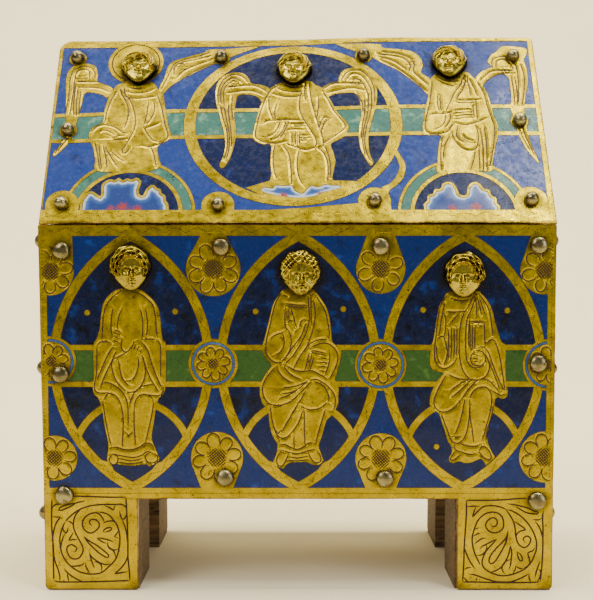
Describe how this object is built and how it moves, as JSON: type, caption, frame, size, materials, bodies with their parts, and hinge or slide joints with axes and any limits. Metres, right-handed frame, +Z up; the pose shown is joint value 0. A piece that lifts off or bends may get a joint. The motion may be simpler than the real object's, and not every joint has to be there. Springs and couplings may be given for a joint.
{
  "type": "reliquary casket",
  "caption": "Gabled wooden casket on square feet, clad in gilt and enamelled copper plates with seated figures, angels, rosettes and applied cast heads; the roof lifts off.",
  "frame": {"origin": "on the floor, under the middle of the whole casket's box", "axes": "+X to the right along the front, +Y from the front to the back, +Z up; the front with the applied heads faces -Y"},
  "size_m": [0.181, 0.0929, 0.1998],
  "materials": {
    "wood": "old dark oak, dry and worn, bare inside and under the feet",
    "enamelled_plate": "fire-gilt copper engraved and pricked, with champleve enamel in lapis, dark blue, cornflower, turquoise, green, red and white, ground flush",
    "gilt_heads": "cast copper, chased and gilt, polished on the high places and dark in the hollows",
    "nails": "domed copper nail heads, gilding worn to brown metal"
  },
  "bodies": {
    "root": {"body_core": "wood", "lid_core": "wood", "front_plate": "enamelled_plate", "back_plate": "enamelled_plate", "left_end_plate": "enamelled_plate", "right_end_plate": "enamelled_plate", "front_roof_plate": "enamelled_plate", "back_roof_plate": "enamelled_plate", "left_gable_plate": "enamelled_plate", "right_gable_plate": "enamelled_plate", "apostle_head_left": "gilt_heads", "apostle_head_middle": "gilt_heads", "apostle_head_right": "gilt_heads", "angel_head_left": "gilt_heads", "angel_head_middle": "gilt_heads", "angel_head_right": "gilt_heads", "front_nail_top_1": "nails", "front_nail_top_2": "nails", "front_nail_top_3": "nails", "front_nail_top_4": "nails", "front_nail_middle_1": "nails", "front_nail_middle_2": "nails", "front_nail_low_1": "nails", "front_nail_low_2": "nails", "front_nail_leg_1": "nails", "front_nail_leg_2": "nails", "roof_nail_top_1": "nails", "roof_nail_top_2": "nails", "roof_nail_top_3": "nails", "roof_nail_top_4": "nails", "roof_nail_middle_1": "nails", "roof_nail_middle_2": "nails", "roof_nail_low_1": "nails", "roof_nail_low_2": "nails", "roof_nail_low_3": "nails", "roof_nail_low_4": "nails", "left_end_nail_top_1": "nails", "left_end_nail_top_2": "nails", "left_end_nail_middle_1": "nails", "left_end_nail_middle_2": "nails", "left_end_nail_leg_1": "nails", "left_end_nail_leg_2": "nails", "right_end_nail_top_1": "nails", "right_end_nail_top_2": "nails", "right_end_nail_middle_1": "nails", "right_end_nail_middle_2": "nails", "right_end_nail_leg_1": "nails", "right_end_nail_leg_2": "nails", "left_gable_nail_low_1": "nails", "left_gable_nail_low_2": "nails", "left_gable_nail_top": "nails", "right_gable_nail_low_1": "nails", "right_gable_nail_low_2": "nails", "right_gable_nail_top": "nails"}
  },
  "joints": []
}
